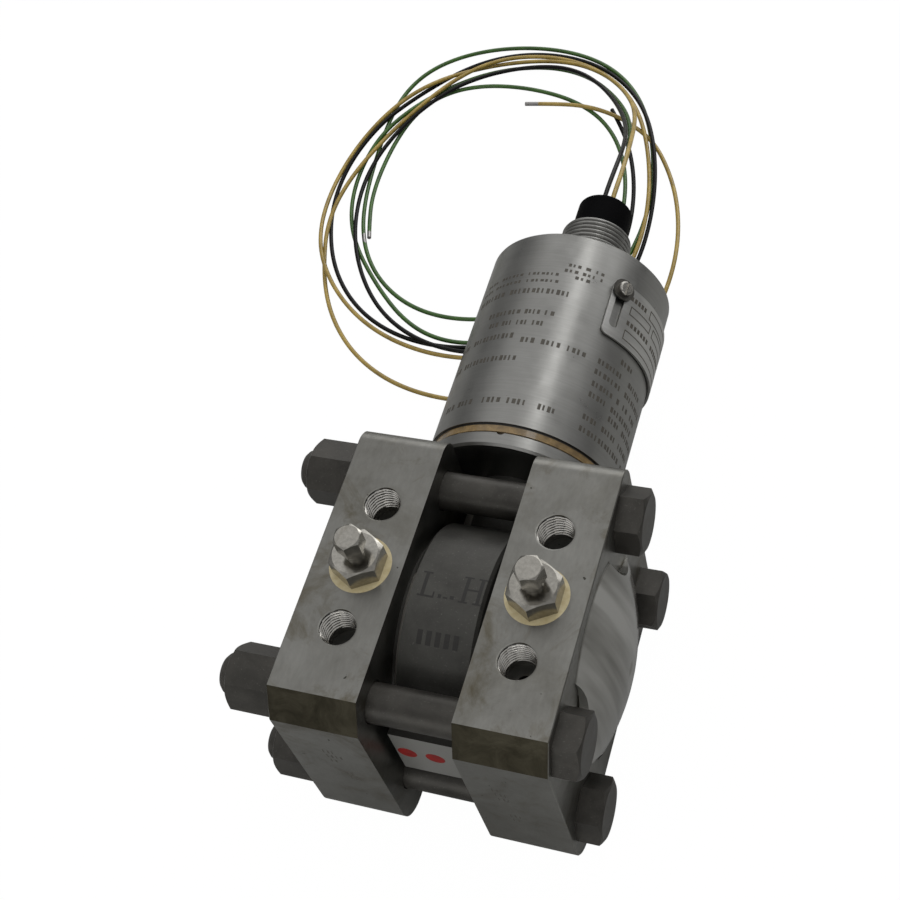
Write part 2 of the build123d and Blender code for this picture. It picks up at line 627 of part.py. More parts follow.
green_route = [
    (6.2, 117.7, 45.2), (6.2, 124.7, 45.2), (5.9, 134.6, 43.86), (5.2, 145.4, 41.29),
    (3.6, 157.2, 37.29), (1, 169.9, 31.97), (-2.8, 182.2, 25.98), (-7.9, 194, 19.95),
    (-14.4, 205.3, 14.36), (-22.4, 216.1, 9.58), (-32.1, 225.8, 5.73), (-43.4, 232.7, 2.87),
    (-56.3, 235.6, 1.4), (-70.3, 234.1, 0.94), (-83.6, 229.2, 0.93), (-95.4, 221.6, 0.93),
    (-105.5, 211.7, 1.48), (-113.4, 199.9, 2.64), (-119.4, 186.9, 3.41), (-123, 173.2, 2.29),
    (-123.8, 159.4, 1.24), (-121.8, 145.7, 0.93), (-117.3, 132.9, 0.93), (-110.3, 121.2, 0.92),
    (-101.4, 110.2, 0.94), (-91.3, 99.3, 0.95), (-80.4, 89.5, 0.95), (-68.5, 82.6, 0.95),
    (-55.8, 79.8, 0.94), (-42.8, 81.1, 0.93), (-30.2, 85.8, 0.94), (-18.6, 93.3, 0.94),
    (-8.6, 103.1, 0.93), (-0.8, 114.5, 0.93), (4.4, 127.2, 0.94), (7.2, 140.7, 0.94),
    (8.1, 154.8, 0.92), (7.1, 169.2, 0.96), (4.6, 183.4, 0.98), (0.7, 197.2, 0.92),
    (-4.5, 210.3, 1.16), (-11.2, 222.1, 1.05), (-19.8, 232.2, 0.95), (-30.3, 240, 0.93),
    (-42.9, 245.2, 0.93), (-57.2, 247.6, 0.94), (-72.1, 247.2, 0.95), (-86.5, 244.2, 0.95),
    (-99.5, 238.4, 0.96), (-109.8, 230.1, 0.95), (-116.5, 219.3, 0.95), (-119.7, 206.6, 0.93),
    (-120.4, 192.5, 0.92), (-119.6, 177.8, 0.93), (-118.3, 163.2, 0.93), (-116.3, 149, 0.93),
    (-113, 135.6, 0.94), (-107.8, 123.2, 0.95), (-100.4, 112.1, 0.95), (-90.8, 102.8, 0.95),
    (-79.3, 95.8, 0.95), (-66.3, 92, 0.95), (-52, 91.7, 0.95), (-37.6, 95, 0.95),
    (-24.5, 101.3, 0.95), (-14, 110.4, 0.95), (-7, 121.8, 0.94), (-3, 134.7, 0.94),
    (-1.8, 148.6, 0.96), (-2.9, 162.7, 1.01), (-5.9, 176.4, 1.05), (-11, 189.4, 1.09),
    (-18.4, 201.1, 1.07), (-28.4, 210.8, 0.92), (-41.2, 217.6, 0.99), (-55.6, 221.4, 0.99),
    (-70.1, 222.8, 0.96), (-83.5, 221.7, 0.93), (-95.2, 217.6, 0.92), (-104.4, 210.1, 0.94),
    (-110.5, 198.6, 0.93), (-113.5, 183.7, 0.93), (-114.5, 168.6, 0.94), (-114.1, 155.1, 0.95),
    (-112, 142.2, 0.96), (-107.6, 128.5, 0.96),
]


def lead_radii(points):
    """Corner radii that join the straight runs of a route into one smooth curve."""
    radii = []
    for before, corner, after in zip(points, points[1:], points[2:]):
        back = Vector(*before) - Vector(*corner)
        ahead = Vector(*after) - Vector(*corner)
        half_turn = (math.pi - math.radians(back.get_angle(ahead))) / 2
        radii.append(corner_share * min(back.length, ahead.length) / math.tan(half_turn))
    return radii


def make_lead(points, label):
    """Round wire lead along its route, which starts on the plug's end face."""
    step = plug_y[1] + y_shift - points[0][1]
    points = [(x, y + step, z) for x, y, z in points]
    radii = lead_radii(points)
    print(label, "smallest radius", round(min(radii), 1), "mm over", len(points), "points")
    with BuildPart() as lead:
        with BuildLine() as route:
            FilletPolyline(*points, radius=radii)
        with BuildSketch(Plane(origin=route.wire() @ 0, z_dir=route.wire() % 0)) as section:
            Circle(lead_r)
        sweep(section.sketch, path=route.wire())
    share = lead.part.volume / (math.pi * lead_r**2 * route.wire().length)
    print(label, "length", round(route.wire().length, 1), "volume share", round(share, 4))
    return lead.part


save(make_lead(black_route, "lead_black"), "lead_black")
save(make_lead(white_route, "lead_white"), "lead_white")
save(make_lead(green_route, "lead_green"), "lead_green")
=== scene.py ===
"""Looks of the differential pressure transmitter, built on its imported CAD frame, in metres."""

import math

import bmesh
import bpy
from mathutils import Matrix, Vector


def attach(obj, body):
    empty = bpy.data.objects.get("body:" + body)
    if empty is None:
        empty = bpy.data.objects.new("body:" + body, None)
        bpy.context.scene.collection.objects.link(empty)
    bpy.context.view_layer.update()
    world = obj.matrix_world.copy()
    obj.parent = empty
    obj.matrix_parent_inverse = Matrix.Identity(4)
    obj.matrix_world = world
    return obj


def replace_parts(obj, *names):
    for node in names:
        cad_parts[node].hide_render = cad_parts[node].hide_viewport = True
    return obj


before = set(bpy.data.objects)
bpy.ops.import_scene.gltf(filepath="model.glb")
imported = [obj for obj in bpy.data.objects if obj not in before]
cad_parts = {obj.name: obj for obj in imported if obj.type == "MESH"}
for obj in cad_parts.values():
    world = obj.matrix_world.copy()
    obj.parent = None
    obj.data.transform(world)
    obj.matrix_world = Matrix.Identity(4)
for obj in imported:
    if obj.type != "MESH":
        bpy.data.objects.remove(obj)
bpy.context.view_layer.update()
scene = bpy.context.scene
scene.view_settings.view_transform = "Standard"

MM = 0.001
ROOT = "transmitter"
X0, Y0 = 5.45, -117.7  # the flange gap's middle and the flanges' lower end in the frame, in mm

# Sizes and places of the CAD pieces that the looks follow, in mm from there
AXIS_Z = 46.0
CELL_Y, CELL_Z = 51.3, 46.2
CELL_R = 36.2
SHELL_R = 33.3
TAG_R = 34.4
SEAL_TOP_Y = 113.55
FRONT_Z = 86.0
DOME_FOOT_X = 44.6
CORNER_CUT_Y, CORNER_CUT_Z = 6.6, 11.3
PORT_X = 28.7
PORT_ROWS = (29.2, 73.6)
WIRE_R = 0.9
MARK_SUNK, MARK_PROUD = 0.05, 0.03


def at(x, y, z):
    """Point given from the flange gap's middle and lower end, in mm, as a point of the frame."""
    return Vector(((x + X0) * MM, (y + Y0) * MM, z * MM))


# Camera
eye = bpy.data.cameras.new("camera")
eye.lens = 64.0
eye.sensor_width = 36.0
camera = bpy.data.objects.new("camera", eye)
right, up, back = (0.9384, 0.2863, -0.1937), (-0.1400, 0.8272, 0.5442), (0.3160, -0.4835, 0.8163)
turn = Matrix((right, up, back)).transposed()
camera.matrix_world = Matrix.Translation(at(149.5, -151.6, 505.7)) @ turn.to_4x4()
scene.collection.objects.link(camera)
scene.camera = camera
eye.clip_start, eye.clip_end = 0.01, 20.0

# Lead routes, in mm, the same points as in the part's source
black_route = [
    (4.5, 117.7, 50.2), (4.5, 124.7, 50.2), (4.4, 134.5, 48.77), (3.8, 144.9, 45.6),
    (2.4, 156.2, 40.66), (-0.2, 168.4, 34.39), (-4.2, 180.7, 27.73), (-9.7, 193.2, 21.5),
    (-17, 205.6, 16.21), (-25.9, 217, 11.93), (-36.2, 226.2, 8.46), (-47.6, 232.1, 5.57),
    (-59.9, 233.8, 3.33), (-72.4, 231.5, 2.45), (-84.3, 225.8, 2.69), (-95.1, 217.2, 3.21),
    (-103.9, 206.3, 3.16), (-110.8, 194, 3.15), (-115.8, 180.9, 3.11), (-118.5, 167, 3.16),
    (-118.8, 152.7, 3.07), (-116.6, 138.4, 3.1), (-112.3, 124.4, 3.22), (-106, 111.3, 2.74),
    (-98, 99.5, 2.34), (-88.5, 89.5, 2.47), (-77.6, 81.8, 3), (-65.6, 76.6, 3.21),
    (-52.6, 74.7, 2.49), (-39.1, 76, 1.67), (-25.8, 80.3, 1.12), (-13.6, 87.3, 0.92),
    (-3.3, 96.6, 0.93), (4.2, 108.2, 0.94), (8.6, 121.5, 0.93), (10.5, 136, 0.92),
    (10.5, 150.8, 1.33), (9.2, 165.4, 2.43), (6.6, 179.6, 4.1), (2.5, 193.4, 5.46),
    (-3.1, 206.7, 4.45), (-10.4, 218.7, 3.04), (-19.5, 229.1, 1.93), (-30.5, 237.3, 1.21),
    (-43.4, 242.4, 0.93), (-57.3, 244.2, 0.93), (-71.3, 242.7, 0.95), (-84.3, 237.9, 0.96),
    (-95.7, 230.1, 0.93), (-105.5, 219.8, 0.92), (-113.8, 207.8, 2), (-120.8, 195.1, 3.34),
    (-126.2, 181.9, 2.99), (-129.7, 168.6, 2.11), (-130.8, 155.3, 1.37), (-129.5, 142, 0.97),
    (-125.8, 128.7, 0.92), (-120.3, 115.7, 0.99), (-112.7, 103.8, 1), (-103, 93.4, 0.99),
    (-91.6, 85.3, 0.97), (-78.6, 79.8, 0.94), (-64.6, 77.2, 0.92), (-50.3, 77.5, 1.01),
    (-36.6, 80.7, 1.32), (-24.2, 86.8, 1.89), (-13.7, 95.6, 2.68), (-5.6, 106.5, 3.27),
    (-0.4, 119.1, 2.84), (2.3, 133, 2.05), (2.7, 147.6, 1.43), (1, 162.2, 1.1),
    (-2.3, 176.4, 0.99), (-7.1, 189.7, 0.97), (-13.2, 201.9, 0.92), (-20.8, 213.2, 0.93),
]
white_route = [
    (8, 117.7, 51), (8, 124.7, 51), (8, 134.5, 50.12), (7, 145.1, 47.23), (5.3, 156.8, 42.51),
    (3, 169.4, 36.69), (-0, 181.9, 30.65), (-4.4, 194.1, 24.92), (-10.9, 205.8, 19.78),
    (-19.4, 216.7, 15.26), (-29.7, 226, 11.14), (-41.2, 233.2, 7.18), (-53.5, 237.5, 3.55),
    (-66.3, 238.4, 1.37), (-79.2, 235.6, 0.92), (-91.7, 229.7, 1.65), (-103.3, 221.4, 3.21),
    (-113.6, 210.9, 3.74), (-121.8, 198.8, 3), (-127.7, 185.7, 2.02), (-131.4, 172.1, 1.44),
    (-133, 158.2, 1.46), (-132.7, 144.3, 2.07), (-130.4, 130.6, 3.08), (-125.9, 117.5, 3.82),
    (-118.8, 105.6, 3.24), (-109.5, 95.1, 2.23), (-98.5, 86.3, 1.45), (-85.8, 79.4, 1.03),
    (-72, 74.8, 0.92), (-57.6, 72.6, 0.98), (-43.3, 73, 1.28), (-30, 76.2, 1.87),
    (-18.3, 82.4, 2.67), (-8.5, 91.1, 3.23), (-0.8, 101.8, 2.98), (4.8, 114, 2.51),
    (7.9, 127.2, 2.42), (9.1, 141, 2.64), (8.5, 155.3, 3.09), (6.3, 169.8, 3.64),
    (2.6, 184.4, 4.56), (-2.5, 198.6, 5.18), (-9, 211.7, 3.91), (-17, 223.1, 2.48),
    (-26.6, 232, 1.57), (-37.7, 238.2, 1.29), (-50.1, 241.5, 1.5), (-63.4, 241.3, 2.13),
    (-76.4, 237.6, 3), (-87.9, 230.5, 3.44), (-97.3, 220.4, 3.43), (-105.2, 208.6, 3.2),
    (-112.3, 195.9, 3.07), (-117.9, 182.6, 3.48), (-122.4, 168.9, 4.08), (-126, 155.2, 3.97),
    (-127.7, 141.4, 3.68), (-126.9, 127.6, 2.86), (-123.6, 114.3, 1.28), (-118.8, 101.2, 0.92),
    (-112.4, 89.1, 0.94), (-104.2, 78.1, 0.96), (-94.5, 68.7, 0.96), (-83.2, 61.2, 0.96),
    (-70.7, 55.9, 0.95), (-57, 53, 0.95), (-42.8, 52.5, 0.95), (-28.6, 54.4, 0.95),
    (-15.2, 58.6, 0.95), (-3, 65.1, 0.95), (7.3, 73.9, 0.95), (15.2, 84.8, 0.95),
    (20.8, 97.3, 0.95), (24.1, 111.1, 0.95), (25.2, 125.6, 0.94), (24.4, 140.4, 0.94),
    (21.7, 154.9, 0.92), (17.3, 168.8, 1.04), (11.2, 181.5, 1.67), (3.6, 192.7, 3.28),
    (-6, 201.7, 2.49), (-17.5, 208.2, 2.8), (-30.7, 211.9, 3.28), (-45, 213.6, 1.82),
    (-60.5, 212.8, 0.93),
]
green_route = [
    (6.2, 117.7, 45.2), (6.2, 124.7, 45.2), (5.9, 134.6, 43.86), (5.2, 145.4, 41.29),
    (3.6, 157.2, 37.29), (1, 169.9, 31.97), (-2.8, 182.2, 25.98), (-7.9, 194, 19.95),
    (-14.4, 205.3, 14.36), (-22.4, 216.1, 9.58), (-32.1, 225.8, 5.73), (-43.4, 232.7, 2.87),
    (-56.3, 235.6, 1.4), (-70.3, 234.1, 0.94), (-83.6, 229.2, 0.93), (-95.4, 221.6, 0.93),
    (-105.5, 211.7, 1.48), (-113.4, 199.9, 2.64), (-119.4, 186.9, 3.41), (-123, 173.2, 2.29),
    (-123.8, 159.4, 1.24), (-121.8, 145.7, 0.93), (-117.3, 132.9, 0.93), (-110.3, 121.2, 0.92),
    (-101.4, 110.2, 0.94), (-91.3, 99.3, 0.95), (-80.4, 89.5, 0.95), (-68.5, 82.6, 0.95),
    (-55.8, 79.8, 0.94), (-42.8, 81.1, 0.93), (-30.2, 85.8, 0.94), (-18.6, 93.3, 0.94),
    (-8.6, 103.1, 0.93), (-0.8, 114.5, 0.93), (4.4, 127.2, 0.94), (7.2, 140.7, 0.94),
    (8.1, 154.8, 0.92), (7.1, 169.2, 0.96), (4.6, 183.4, 0.98), (0.7, 197.2, 0.92),
    (-4.5, 210.3, 1.16), (-11.2, 222.1, 1.05), (-19.8, 232.2, 0.95), (-30.3, 240, 0.93),
    (-42.9, 245.2, 0.93), (-57.2, 247.6, 0.94), (-72.1, 247.2, 0.95), (-86.5, 244.2, 0.95),
    (-99.5, 238.4, 0.96), (-109.8, 230.1, 0.95), (-116.5, 219.3, 0.95), (-119.7, 206.6, 0.93),
    (-120.4, 192.5, 0.92), (-119.6, 177.8, 0.93), (-118.3, 163.2, 0.93), (-116.3, 149, 0.93),
    (-113, 135.6, 0.94), (-107.8, 123.2, 0.95), (-100.4, 112.1, 0.95), (-90.8, 102.8, 0.95),
    (-79.3, 95.8, 0.95), (-66.3, 92, 0.95), (-52, 91.7, 0.95), (-37.6, 95, 0.95),
    (-24.5, 101.3, 0.95), (-14, 110.4, 0.95), (-7, 121.8, 0.94), (-3, 134.7, 0.94),
    (-1.8, 148.6, 0.96), (-2.9, 162.7, 1.01), (-5.9, 176.4, 1.05), (-11, 189.4, 1.09),
    (-18.4, 201.1, 1.07), (-28.4, 210.8, 0.92), (-41.2, 217.6, 0.99), (-55.6, 221.4, 0.99),
    (-70.1, 222.8, 0.96), (-83.5, 221.7, 0.93), (-95.2, 217.6, 0.92), (-104.4, 210.1, 0.94),
    (-110.5, 198.6, 0.93), (-113.5, 183.7, 0.93), (-114.5, 168.6, 0.94), (-114.1, 155.1, 0.95),
    (-112, 142.2, 0.96), (-107.6, 128.5, 0.96),
]


# Materials
def shader(name):
    """New material with its node tree, its shader and its object coordinates."""
    m = bpy.data.materials.new(name)
    m.use_nodes = True
    tree = m.node_tree
    bsdf = tree.nodes["Principled BSDF"]
    coords = tree.nodes.new("ShaderNodeTexCoord")
    return m, tree, bsdf, coords.outputs["Object"]


def noise(tree, coords, scale, detail=4.0, stretch=(1, 1, 1), rough=0.55, distort=0.0):
    """Noise over the object's own coordinates, stretched along an axis for brushed grain."""
    place = tree.nodes.new("ShaderNodeMapping")
    place.inputs["Scale"].default_value = stretch
    tree.links.new(coords, place.inputs["Vector"])
    n = tree.nodes.new("ShaderNodeTexNoise")
    n.inputs["Scale"].default_value = scale
    n.inputs["Detail"].default_value = detail
    n.inputs["Roughness"].default_value = rough
    n.inputs["Distortion"].default_value = distort
    tree.links.new(place.outputs["Vector"], n.inputs["Vector"])
    return n.outputs["Fac"]


def ramp(tree, fac, stops):
    """Colour ramp from (position, colour) stops; a single number is a grey."""
    r = tree.nodes.new("ShaderNodeValToRGB")
    tree.links.new(fac, r.inputs["Fac"])
    while len(r.color_ramp.elements) < len(stops):
        r.color_ramp.elements.new(0.5)
    for e, (p, c) in zip(r.color_ramp.elements, stops):
        e.position = p
        c = (c, c, c) if isinstance(c, (int, float)) else c
        e.color = (*c, 1.0)
    return r.outputs["Color"]


def mix(tree, fac, a, b, how="MIX"):
    """Colour mix; fac, a and b are sockets or constants."""
    m = tree.nodes.new("ShaderNodeMix")
    m.data_type = "RGBA"
    m.blend_type = how
    for key, value in (("Factor_Float", fac), ("A_Color", a), ("B_Color", b)):
        socket = next(s for s in m.inputs if s.identifier == key)
        if isinstance(value, bpy.types.NodeSocket):
            tree.links.new(value, socket)
        elif key == "Factor_Float":
            socket.default_value = value
        elif isinstance(value, (int, float)):
            socket.default_value = (value, value, value, 1.0)
        else:
            socket.default_value = (*value, 1.0)
    return next(s for s in m.outputs if s.identifier == "Result_Color")


def bump(tree, bsdf, heights):
    """Height sockets, each with its distance and strength, into the shader's normal."""
    last = None
    for height, distance, strength in heights:
        b = tree.nodes.new("ShaderNodeBump")
        b.inputs["Distance"].default_value = distance
        b.inputs["Strength"].default_value = strength
        tree.links.new(height, b.inputs["Height"])
        if last is not None:
            tree.links.new(last, b.inputs["Normal"])
        last = b.outputs["Normal"]
    tree.links.new(last, bsdf.inputs["Normal"])


def steel(name, light, dark, rough, stretch=(1, 1, 1), stain=None, stain_at=(0.56, 0.7), grain=0.35,
          scale=900.0, lines=0.22, dent=0.25, pits=None):
    """Machined steel: fine grain along one axis, soft patches and, if given, brownish stains."""
    m, tree, bsdf, co = shader(name)
    bsdf.inputs["Metallic"].default_value = 1.0
    fine = noise(tree, co, scale, 5.0, stretch)
    patch = noise(tree, co, 55.0, 5.0, (1, 1, 1), 0.6, 0.4)
    colour = ramp(tree, patch, [(0.3, dark), (0.7, light)])
    colour = mix(tree, lines, colour, ramp(tree, fine, [(0.3, 0.25), (0.7, 0.85)]), "OVERLAY")
    if stain:
        spots = noise(tree, co, 38.0, 8.0, (1, 1, 1), 0.68, 1.2)
        mask = ramp(tree, spots, [(stain_at[0], 0.0), (stain_at[1], 1.0)])
        colour = mix(tree, mask, colour, stain)
    if pits:
        smudge = noise(tree, co, 24.0, 6.0, (1, 1, 1), 0.7, 0.8)
        colour = mix(tree, ramp(tree, smudge, [(0.5, 0.0), (0.72, 0.55)]), colour, pits, "MULTIPLY")
        dots = noise(tree, co, 420.0, 1.0)
        colour = mix(tree, ramp(tree, dots, [(0.77, 0.0), (0.80, 0.8)]), colour, (0.022, 0.02, 0.015))
    tree.links.new(colour, bsdf.inputs["Base Color"])
    spread = noise(tree, co, 130.0, 6.0, (1, 1, 1), 0.65)
    tree.links.new(ramp(tree, spread, [(0.25, rough - 0.07), (0.75, rough + 0.1)]), bsdf.inputs["Roughness"])
    dents = noise(tree, co, 260.0, 3.0)
    bump(tree, bsdf, [(fine, 0.00002, grain), (dents, 0.00006, dent)])
    return m


def faced(material, axis, edge, width, inner, change):
    """Blend another tone and roughness in where a coordinate passes an edge, in mm."""
    tree = material.node_tree
    bsdf = tree.nodes["Principled BSDF"]
    co = tree.nodes.new("ShaderNodeTexCoord")
    parts = tree.nodes.new("ShaderNodeSeparateXYZ")
    tree.links.new(co.outputs[axis[0]], parts.inputs["Vector"])
    step = tree.nodes.new("ShaderNodeMapRange")
    step.inputs["From Min"].default_value = edge
    step.inputs["From Max"].default_value = edge + width
    tree.links.new(parts.outputs[axis[1]], step.inputs["Value"])
    mask = step.outputs["Result"]
    for name, value in (("Base Color", inner), ("Roughness", change)):
        if value is None:
            continue
        before = bsdf.inputs[name].links[0].from_socket
        tree.links.new(mix(tree, mask, before, value), bsdf.inputs[name])
    return mask


def facing(material, direction, inner, change, least=0.97):
    """Blend another tone and roughness in on faces that point along a direction of the object."""
    tree = material.node_tree
    bsdf = tree.nodes["Principled BSDF"]
    co = tree.nodes.new("ShaderNodeTexCoord")
    dot = tree.nodes.new("ShaderNodeVectorMath")
    dot.operation = "DOT_PRODUCT"
    tree.links.new(co.outputs["Normal"], dot.inputs[0])
    dot.inputs[1].default_value = Vector(direction).normalized()
    step = tree.nodes.new("ShaderNodeMapRange")
    step.inputs["From Min"].default_value = least
    step.inputs["From Max"].default_value = least + 0.01
    tree.links.new(dot.outputs["Value"], step.inputs["Value"])
    for name, value in (("Base Color", inner), ("Roughness", change)):
        before = bsdf.inputs[name].links[0].from_socket
        tree.links.new(mix(tree, step.outputs["Result"], before, value), bsdf.inputs[name])


def coated(name, light, dark, rough, speck=0.25):
    """Dark matt coating on steel with mottled tone and worn specks."""
    m, tree, bsdf, co = shader(name)
    bsdf.inputs["Metallic"].default_value = 0.55
    patch = noise(tree, co, 95.0, 7.0, (1, 1, 1), 0.65, 0.3)
    colour = ramp(tree, patch, [(0.32, dark), (0.68, light)])
    flecks = noise(tree, co, 1500.0, 3.0, (1, 1, 1), 0.6)
    colour = mix(tree, ramp(tree, flecks, [(0.62, 0.0), (0.8, speck)]), colour, (0.31, 0.30, 0.275))
    tree.links.new(colour, bsdf.inputs["Base Color"])
    tree.links.new(ramp(tree, patch, [(0.2, rough - 0.08), (0.8, rough + 0.1)]), bsdf.inputs["Roughness"])
    sand = noise(tree, co, 1300.0, 3.0)
    dents = noise(tree, co, 240.0, 4.0)
    bump(tree, bsdf, [(sand, 0.00006, 0.35), (dents, 0.0001, 0.3)])
    return m


def soft(name, light, dark, rough, scale=300.0, bumps=0.3, coat=0.0):
    """Rubber, resin or plastic with a faint change of tone and a fine skin."""
    m, tree, bsdf, co = shader(name)
    patch = noise(tree, co, scale, 4.0)
    tree.links.new(ramp(tree, patch, [(0.3, dark), (0.7, light)]), bsdf.inputs["Base Color"])
    tree.links.new(ramp(tree, patch, [(0.2, rough - 0.06), (0.8, rough + 0.06)]), bsdf.inputs["Roughness"])
    bsdf.inputs["Coat Weight"].default_value = coat
    skin = noise(tree, co, scale * 4, 3.0)
    bump(tree, bsdf, [(skin, 0.00004, bumps)])
    return m


def flange_finish(name):
    """Milled flange steel with brown stains and a brown film on its slanted faces."""
    m = steel(name, (0.229, 0.227, 0.212), (0.174, 0.171, 0.157), 0.36, (1, 0.3, 1),
              (0.0925, 0.0777, 0.0488), (0.53, 0.76), lines=0.10, pits=(0.55, 0.52, 0.45))
    place = m.node_tree.nodes.new("ShaderNodeTexCoord").outputs["Object"]
    tones = [(0.32, (0.0228, 0.0204, 0.0136)), (0.5, (0.0369, 0.0329, 0.0224)),
             (0.7, (0.0548, 0.0495, 0.0348))]
    film = ramp(m.node_tree, noise(m.node_tree, place, 110.0, 6.0, (1, 1, 1), 0.7, 0.8), tones)
    for slant in ((0, -CORNER_CUT_Z, CORNER_CUT_Y), (0, -CORNER_CUT_Y, CORNER_CUT_Z)):
        facing(m, slant, film, 0.42, 0.96)
    return m


def dome_finish(name):
    """Flange finish whose domed side is turned bright, with painted reflections in soft dark and bright
    bands.
    """
    m = flange_finish(name)
    place = m.node_tree.nodes.new("ShaderNodeTexCoord").outputs["Object"]
    # Dark and bright bands on the turned dome are painted reflections; its gloss is the turned finish's own
    painted_reflection_bands = noise(m.node_tree, place, 95.0, 3.0, (0.3, 1, 0.10), 0.5, 0.12)
    tones = [(0.33, (0.148, 0.144, 0.13)), (0.5, (0.311, 0.307, 0.289)), (0.66, (0.474, 0.47, 0.451))]
    faced(m, ("Object", "X"), (DOME_FOOT_X + X0) * MM, 0.3 * MM, ramp(m.node_tree, painted_reflection_bands, tones), 0.15)
    return m


flange_steel = flange_finish("flange_steel")
dome_steel = dome_finish("dome_steel")
housing_steel = steel("housing_steel", (0.279, 0.278, 0.267), (0.252, 0.250, 0.239), 0.32, (0.05, 1, 0.05),
                      grain=0.25, scale=1500.0, lines=0.10, dent=0.0)
# Port thread steel made much paler than the flanges as painted highlight on the thread crests and flanks
thread_steel_painted_highlight = steel("thread_steel_painted_highlight", (0.72, 0.70, 0.655), (0.59, 0.57, 0.53), 0.2, grain=0.1)
valve_steel = steel("valve_steel", (0.385, 0.37, 0.338), (0.262, 0.251, 0.225), 0.18,
                    stain=(0.141, 0.118, 0.0777), stain_at=(0.60, 0.80), grain=0.25, dent=0.1)
tag_steel = steel("tag_steel", (0.477, 0.475, 0.459), (0.422, 0.418, 0.404), 0.33, (0.05, 1, 0.05), grain=0.2,
                  lines=0.14, dent=0.0)
screw_steel = steel("screw_steel", (0.37, 0.355, 0.333), (0.252, 0.244, 0.222), 0.24, grain=0.15, dent=0.0)
# Tag washer steel darkened as painted shade: the dark ring of shade round each tag screw's head
washer_painted_shade = steel("washer_painted_shade", (0.126, 0.121, 0.111), (0.0814, 0.0777, 0.0703), 0.3, grain=0.15,
                     dent=0.0)
bolt_dark = coated("bolt_dark", (0.0651, 0.0607, 0.0533), (0.0333, 0.0311, 0.0266), 0.44)
cell_dark = coated("cell_dark", (0.074, 0.0725, 0.0651), (0.0459, 0.0444, 0.04), 0.50, 0.3)
facing(cell_dark, (0, -1, 0), (0.266, 0.263, 0.248), 0.34, 0.985)
# Faces of the cell drum's chamfer that point up and to the left are lightened: a painted glint
facing(cell_dark, (-0.7, -0.45, 0.55), (0.311, 0.296, 0.266), 0.3, 0.86)
sealant = soft("sealant", (0.636, 0.548, 0.333), (0.518, 0.422, 0.222), 0.42, 500.0, 0.5, 0.3)
amber = soft("amber_seal", (0.311, 0.203, 0.0755), (0.126, 0.0799, 0.0296), 0.26, 260.0, 0.3, 0.5)
faced(amber, ("Object", "Y"), (SEAL_TOP_Y + Y0) * MM, 0.15 * MM, (0.00888, 0.0074, 0.00592), 0.5)
plug_black = soft("plug_black", (0.00296, 0.00296, 0.00333), (0.00148, 0.00148, 0.00178), 0.55, 200.0, 0.5)
plug_red = soft("plug_red", (0.281, 0.00888, 0.0074), (0.148, 0.00518, 0.00444), 0.5, 400.0, 0.6)
for dull, level in ((plug_black, 0.02), (plug_red, 0.2)):
    dull.node_tree.nodes["Principled BSDF"].inputs["Specular IOR Level"].default_value = level
rubber = soft("o_ring", (0.0148, 0.0148, 0.0148), (0.00888, 0.00888, 0.00888), 0.5)
board_green = soft("board", (0.0222, 0.118, 0.0444), (0.0148, 0.0814, 0.0333), 0.4)
inner_plastic = soft("inner_plastic", (0.037, 0.037, 0.0407), (0.0222, 0.0222, 0.0244), 0.45)
brass = steel("brass_inner", (0.518, 0.385, 0.178), (0.414, 0.296, 0.126), 0.3)
foil = steel("diaphragm_foil", (0.518, 0.511, 0.488), (0.444, 0.437, 0.422), 0.25)
etch = soft("etched_mark", (0.0851, 0.0755, 0.0592), (0.0444, 0.0392, 0.0303), 0.6, 900.0, 0.3)
stamp = soft("faint_stamp", (0.0777, 0.074, 0.0629), (0.0555, 0.0518, 0.0429), 0.5, 900.0, 0.3)
# Dark thread roots in the ports: painted shade in the grooves
thread_root_painted_shade = soft("thread_root_painted_shade", (0.0222, 0.0207, 0.0163), (0.00888, 0.00814, 0.00666), 0.5, 900.0, 0.3)
# Darker roots on the conduit nipple's thread: painted shade in the grooves
nipple_root_painted_shade = soft("nipple_root_painted_shade", (0.0962, 0.0932, 0.0844), (0.0622, 0.0592, 0.0533), 0.4, 900.0, 0.3)
mark_dark = soft("side_mark", (0.0163, 0.0148, 0.0126), (0.00888, 0.00814, 0.00666), 0.6, 900.0, 0.3)


def lead_skin(name, light, dark, tip, reach, shine):
    """Wire insulation that ends in a bare tinned tip near the route's last point."""
    m, tree, bsdf, co = shader(name)
    tone = noise(tree, co, 160.0, 4.0)
    colour = ramp(tree, tone, [(0.3, dark), (0.7, light)])
    if tip is not None:
        gap = tree.nodes.new("ShaderNodeVectorMath")
        gap.operation = "DISTANCE"
        tree.links.new(co, gap.inputs[0])
        gap.inputs[1].default_value = tip
        near = tree.nodes.new("ShaderNodeMapRange")
        near.inputs["From Min"].default_value = reach
        near.inputs["From Max"].default_value = reach * 0.93
        tree.links.new(gap.outputs["Value"], near.inputs["Value"])
        colour = mix(tree, near.outputs["Result"], colour, (0.27, 0.262, 0.255))
        tree.links.new(near.outputs["Result"], bsdf.inputs["Metallic"])
    tree.links.new(colour, bsdf.inputs["Base Color"])
    tree.links.new(ramp(tree, tone, [(0.2, 0.2), (0.8, 0.32)]), bsdf.inputs["Roughness"])
    bsdf.inputs["Specular IOR Level"].default_value = shine
    bump(tree, bsdf, [(noise(tree, co, 250.0, 2.0), 0.00002, 0.15)])
    return m


def link(obj, material, body=ROOT):
    """Put a new piece in the scene with its material and let it ride on a CAD body."""
    if obj.name not in scene.collection.objects:
        scene.collection.objects.link(obj)
    obj.data.materials.clear()
    obj.data.materials.append(material)
    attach(obj, body)
    return obj


